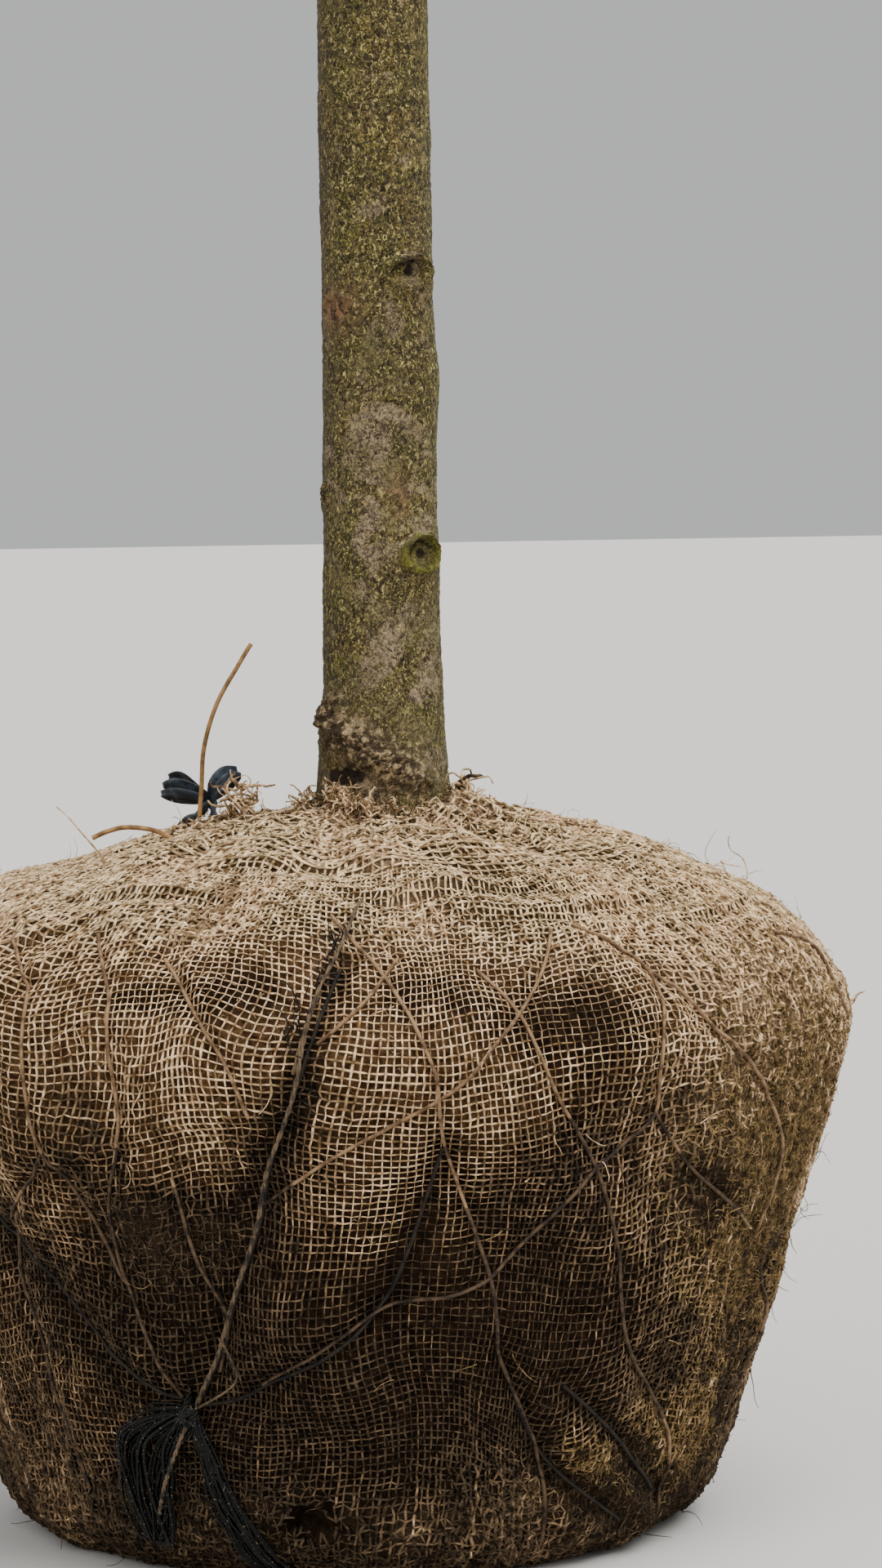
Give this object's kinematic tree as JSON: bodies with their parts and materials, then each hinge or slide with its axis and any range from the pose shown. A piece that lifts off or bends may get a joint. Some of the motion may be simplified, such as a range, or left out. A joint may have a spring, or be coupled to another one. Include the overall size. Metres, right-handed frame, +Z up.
{
  "type": "bare winter street tree sapling with wrapped root ball",
  "caption": "Young leafless broad-leaved tree with a straight leader and rising boughs, standing on a hessian-wrapped root ball ready for planting.",
  "frame": {"origin": "middle of the root ball's flat underside, on the ground, under the foot of the stem", "axes": "+Z up along the stem, -Y towards the side seen in the picture, +X to that view's right"},
  "size_m": [1.779, 1.9004, 5.6095],
  "materials": {
    "hessian_wrap": "matte",
    "hessian_neck": "matte",
    "black_twine": "matte",
    "bark": "matte",
    "twigs": "matte"
  },
  "bodies": {
    "root": {"bough_01": "bark", "bough_02": "bark", "bough_03": "bark", "bough_04": "bark", "bough_05": "bark", "bough_06": "bark", "bough_07": "bark", "bough_08": "bark", "bough_09": "bark", "bough_10": "bark", "bough_11": "bark", "bough_12": "bark", "bough_13": "bark", "bough_14": "bark", "bough_15": "bark", "hessian_collar": "hessian_neck", "lower_tie": "black_twine", "root_ball": "hessian_wrap", "trunk": "bark", "twigs_01": "twigs", "twigs_02": "twigs", "twigs_03": "twigs", "twigs_04": "twigs", "twigs_05": "twigs", "twigs_06": "twigs", "twigs_07": "twigs", "twigs_08": "twigs", "twigs_09": "twigs", "twigs_10": "twigs", "twigs_11": "twigs", "twigs_12": "twigs", "twigs_13": "twigs", "twigs_14": "twigs", "twigs_15": "twigs", "twigs_leader": "twigs", "twigs_spur_1": "twigs", "twigs_spur_2": "twigs", "twigs_spur_3": "twigs", "twigs_spur_4": "twigs", "twigs_spur_5": "twigs", "twigs_spur_6": "twigs", "twigs_spur_7": "twigs", "upper_tie": "black_twine"}
  },
  "joints": []
}
